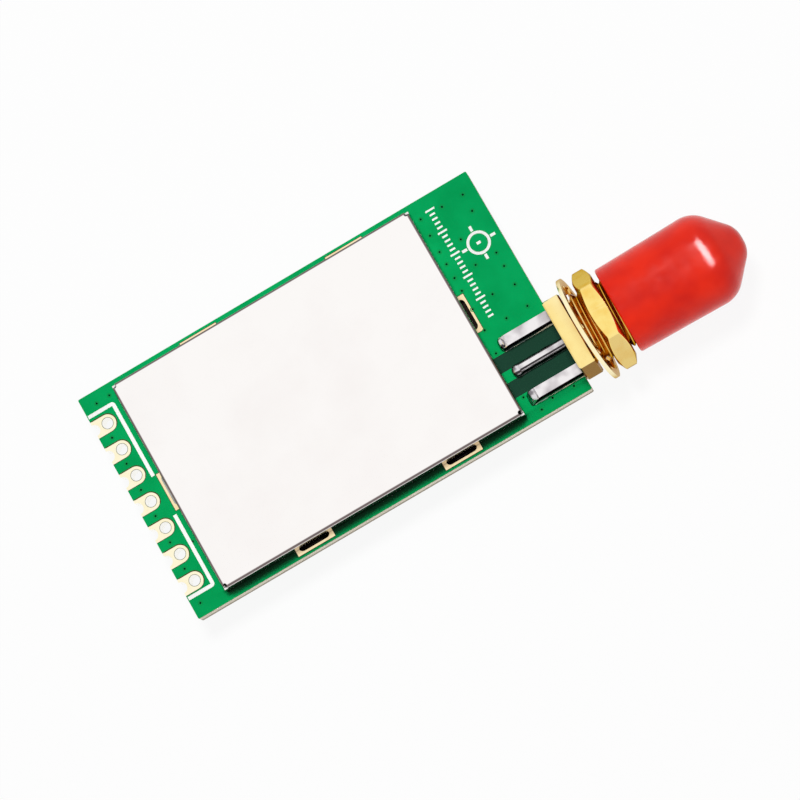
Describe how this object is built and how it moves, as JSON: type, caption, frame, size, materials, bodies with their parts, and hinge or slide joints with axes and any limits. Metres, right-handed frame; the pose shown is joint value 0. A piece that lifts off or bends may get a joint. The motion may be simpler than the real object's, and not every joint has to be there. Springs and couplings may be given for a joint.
{
  "type": "rf transceiver module",
  "caption": "Small radio module: a shielded circuit board with castellated edge contacts and an edge-mounted coaxial aerial connector with washer, nut and dust cap.",
  "frame": {"origin": "on the underside of the board, on the axis of the middle edge contact's plated hole", "axes": "+X along the board towards the aerial connector, +Y along the row of edge contacts, +Z out of the component side"},
  "size_m": [0.0544, 0.0215, 0.0094],
  "materials": {
    "solder_mask": "green solder mask over glass laminate",
    "gold_land": "immersion gold on copper",
    "can_sheet": "bright nickel silver sheet",
    "gold_plate": "bright gold plate on brass",
    "contact_plate": "gold plated contact, tinned tail",
    "insulator": "white fluoropolymer",
    "solder": "bright solder",
    "red_vinyl": "glossy soft vinyl",
    "moulding": "black epoxy moulding",
    "chip_ceramic": "ceramic chip with tinned ends"
  },
  "bodies": {
    "module": {"board": "solder_mask", "ground_lands": "gold_land", "signal_land": "gold_land", "shield_can": "can_sheet", "connector_body": "gold_plate", "connector_insulator": "insulator", "centre_contact": "contact_plate", "leg_solder": "solder", "tail_solder": "solder", "transceiver_chip": "moulding", "microcontroller": "moulding", "crystal": "can_sheet", "rf_switch": "moulding", "voltage_regulator": "moulding", "chip_capacitors": "chip_ceramic", "chip_resistors": "moulding", "chip_inductors": "chip_ceramic", "edge_contact_1": "gold_land", "edge_contact_2": "gold_land", "edge_contact_3": "gold_land", "edge_contact_4": "gold_land", "edge_contact_5": "gold_land", "edge_contact_6": "gold_land", "edge_contact_7": "gold_land", "can_land_1": "gold_land", "can_land_2": "gold_land", "can_land_3": "gold_land", "can_land_4": "gold_land", "can_land_5": "gold_land", "can_land_6": "gold_land"},
    "lock_washer": {"lock_washer": "gold_plate"},
    "hex_nut": {"hex_nut": "gold_plate"},
    "dust_cap": {"dust_cap": "red_vinyl"}
  },
  "joints": [
    {"name": "washer_slide", "type": "slide", "parent": "module", "child": "lock_washer", "axis": [1, 0, 0], "range_m": [0, 0.00847]},
    {"name": "nut_turn", "type": "hinge", "parent": "lock_washer", "child": "hex_nut", "pos_m": [0.0401, -0.0062, 0.00204], "axis": [1, 0, 0], "range_deg": [0, 4320]},
    {"name": "cap_pull", "type": "slide", "parent": "lock_washer", "child": "dust_cap", "axis": [1, 0, 0], "range_m": [0, 0.0105]}
  ],
  "couplings": [
    {"joint": "nut_turn", "follows": "washer_slide", "rad_per_m": 8905.3}
  ]
}
